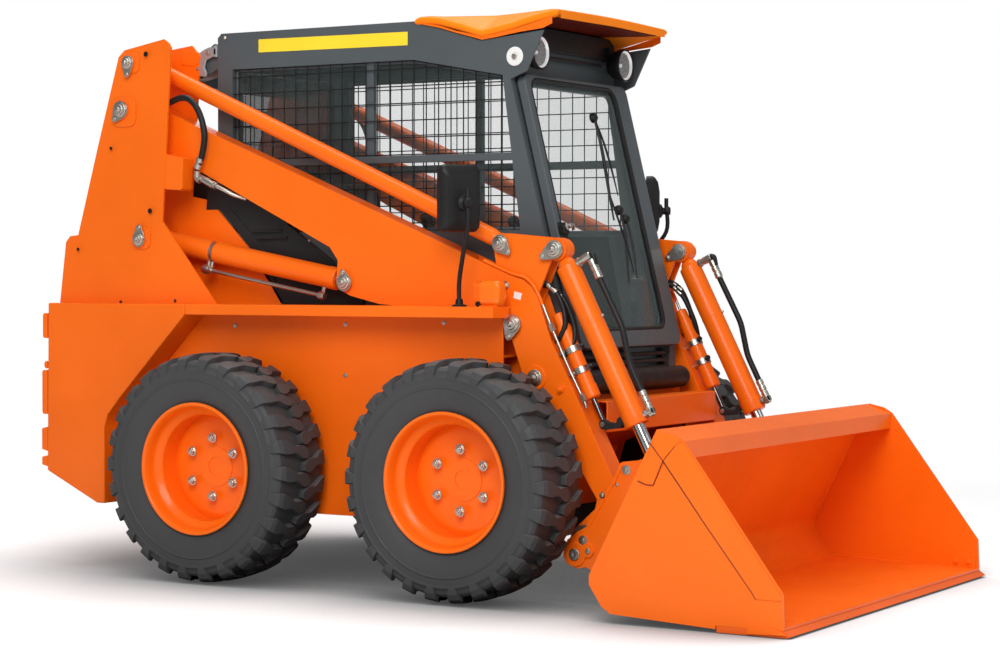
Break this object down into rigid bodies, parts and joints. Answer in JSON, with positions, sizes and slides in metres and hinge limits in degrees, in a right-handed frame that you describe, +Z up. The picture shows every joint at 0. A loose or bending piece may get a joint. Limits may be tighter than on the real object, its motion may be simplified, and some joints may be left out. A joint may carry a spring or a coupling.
{
  "type": "skid steer loader",
  "caption": "Compact wheeled skid steer loader with a glazed cab, lifting arms, levelling linkage and a tilting bucket.",
  "frame": {"origin": "on the ground under the middle of the machine", "axes": "+X forward towards the bucket, +Y to the machine's left, +Z up; the ground is z = 0"},
  "size_m": [3.003, 1.63, 1.896],
  "materials": {
    "orange_paint": "satin",
    "dark_grey_paint": "satin",
    "black_paint": "satin",
    "black_plastic": "matte",
    "amber_plastic": "gloss",
    "black_rubber": "matte",
    "black_vinyl": "satin",
    "clear_glass": "clear",
    "zinc_steel": "satin",
    "chrome_rod": "polished",
    "bare_steel": "satin",
    "tyre_rubber": "matte"
  },
  "bodies": {
    "chassis": {"main_frame": "orange_paint", "side_boxes": "orange_paint", "fenders": "orange_paint", "towers": "orange_paint", "rear_frame": "orange_paint", "roof_visor": "orange_paint", "engine_hood": "orange_paint", "tower_bridge": "dark_grey_paint", "cab_frame": "dark_grey_paint", "door_hinges": "dark_grey_paint", "rear_door_hinges": "dark_grey_paint", "axle_housings": "dark_grey_paint", "engine_block": "dark_grey_paint", "side_panels": "black_paint", "arm_consoles": "black_paint", "work_lights": "black_plastic", "seat_base": "black_plastic", "control_levers": "black_plastic", "mirrors": "black_plastic", "marker_lamps": "amber_plastic", "step_roll": "black_rubber", "tower_hoses": "black_rubber", "seat_cushion": "black_vinyl", "seat_back": "black_vinyl", "cab_windows": "clear_glass"},
    "arms": {"arms": "orange_paint", "arm_pins": "zinc_steel", "arm_crossmember": "orange_paint", "lock_cylinders": "zinc_steel", "arm_hoses": "black_rubber"},
    "levelling_levers": {"levelling_levers": "orange_paint", "lever_pins": "zinc_steel"},
    "link_tubes": {"link_tubes": "orange_paint"},
    "lift_barrels": {"lift_barrels": "orange_paint"},
    "lift_rods": {"lift_rods": "chrome_rod"},
    "hitch_bushes": {"hitch_bushes": "zinc_steel"},
    "bucket": {"hitch": "orange_paint", "bucket": "orange_paint", "cutting_edge": "bare_steel"},
    "tilt_bushes": {"tilt_bushes": "zinc_steel"},
    "tilt_barrels": {"tilt_barrels": "orange_paint", "tilt_hoses": "black_rubber"},
    "tilt_rods": {"tilt_rods": "chrome_rod"},
    "cab_door": {"door_frame": "dark_grey_paint", "door_glass": "clear_glass", "door_handle": "black_plastic"},
    "rear_door": {"rear_door": "orange_paint"},
    "wheel_rear_right": {"tyre_rear_right": "tyre_rubber", "wheel_rim_rear_right": "orange_paint"},
    "wheel_rear_left": {"tyre_rear_left": "tyre_rubber", "wheel_rim_rear_left": "orange_paint"},
    "wheel_front_right": {"tyre_front_right": "tyre_rubber", "wheel_rim_front_right": "orange_paint"},
    "wheel_front_left": {"tyre_front_left": "tyre_rubber", "wheel_rim_front_left": "orange_paint"}
  },
  "joints": [
    {"name": "arm_lift", "type": "hinge", "parent": "chassis", "child": "arms", "pos_m": [-1.1745, 0, 1.611], "axis": [0, -1, 0], "range_deg": [0, 70]},
    {"name": "lever_turn", "type": "hinge", "parent": "arms", "child": "levelling_levers", "pos_m": [0.3845, 0, 0.878], "axis": [0, -1, 0], "range_deg": [-39.6, 0]},
    {"name": "link_swing", "type": "hinge", "parent": "chassis", "child": "link_tubes", "pos_m": [-1.1415, 0, 1.774], "axis": [0, -1, 0], "range_deg": [0, 74.6]},
    {"name": "lift_barrel_swing", "type": "hinge", "parent": "chassis", "child": "lift_barrels", "pos_m": [-1.0935, 0, 1.158], "axis": [0, -1, 0], "range_deg": [0, 64.6]},
    {"name": "lift_rod_slide", "type": "slide", "parent": "lift_barrels", "child": "lift_rods", "axis": [0.9841, 0, -0.1775], "range_m": [0, 0.52]},
    {"name": "hitch_level", "type": "hinge", "parent": "arms", "child": "hitch_bushes", "pos_m": [0.6485, 0, 0.2], "axis": [0, -1, 0], "range_deg": [-32.9, 0]},
    {"name": "bucket_tilt", "type": "hinge", "parent": "hitch_bushes", "child": "bucket", "pos_m": [0.6485, 0, 0.2], "axis": [0, -1, 0], "range_deg": [-75, 20]},
    {"name": "tilt_bush_turn", "type": "hinge", "parent": "levelling_levers", "child": "tilt_bushes", "pos_m": [0.5305, 0, 1.116], "axis": [0, -1, 0], "range_deg": [0, 37.1]},
    {"name": "tilt_barrel_swing", "type": "hinge", "parent": "tilt_bushes", "child": "tilt_barrels", "pos_m": [0.5305, 0, 1.116], "axis": [0, -1, 0], "range_deg": [-3.8, 1.1]},
    {"name": "tilt_rod_slide", "type": "slide", "parent": "tilt_barrels", "child": "tilt_rods", "axis": [0.4534, 0, -0.8913], "range_m": [-0.103, 0.384]},
    {"name": "cab_door_open", "type": "hinge", "parent": "chassis", "child": "cab_door", "pos_m": [0.5488, 0.364, 0.79341], "axis": [-0.2438, 0, 0.9698], "range_deg": [0, 90]},
    {"name": "rear_door_open", "type": "hinge", "parent": "chassis", "child": "rear_door", "pos_m": [-1.4925, -0.441, 0.655], "axis": [0, 0, 1], "range_deg": [0, 110]},
    {"name": "wheel_rear_right_spin", "type": "hinge", "parent": "chassis", "child": "wheel_rear_right", "pos_m": [-0.6925, -0.64, 0.3865], "axis": [0, 1, 0], "continuous": true},
    {"name": "wheel_rear_left_spin", "type": "hinge", "parent": "chassis", "child": "wheel_rear_left", "pos_m": [-0.6925, 0.64, 0.3865], "axis": [0, 1, 0], "continuous": true},
    {"name": "wheel_front_right_spin", "type": "hinge", "parent": "chassis", "child": "wheel_front_right", "pos_m": [0.2925, -0.64, 0.3865], "axis": [0, 1, 0], "continuous": true},
    {"name": "wheel_front_left_spin", "type": "hinge", "parent": "chassis", "child": "wheel_front_left", "pos_m": [0.2925, 0.64, 0.3865], "axis": [0, 1, 0], "continuous": true}
  ],
  "couplings": [
    {"joint": "lever_turn", "follows": "arm_lift", "ratio": -0.56202},
    {"joint": "link_swing", "follows": "arm_lift", "ratio": 1.0624},
    {"joint": "lift_barrel_swing", "follows": "arm_lift", "ratio": 0.91939},
    {"joint": "lift_rod_slide", "follows": "arm_lift", "m_per_rad": 0.42345},
    {"joint": "hitch_level", "follows": "arm_lift", "ratio": -0.46659},
    {"joint": "tilt_bush_turn", "follows": "arm_lift", "ratio": 0.52638},
    {"joint": "tilt_barrel_swing", "follows": "bucket_tilt", "ratio": 0.05},
    {"joint": "tilt_rod_slide", "follows": "bucket_tilt", "m_per_rad": -0.29221}
  ]
}
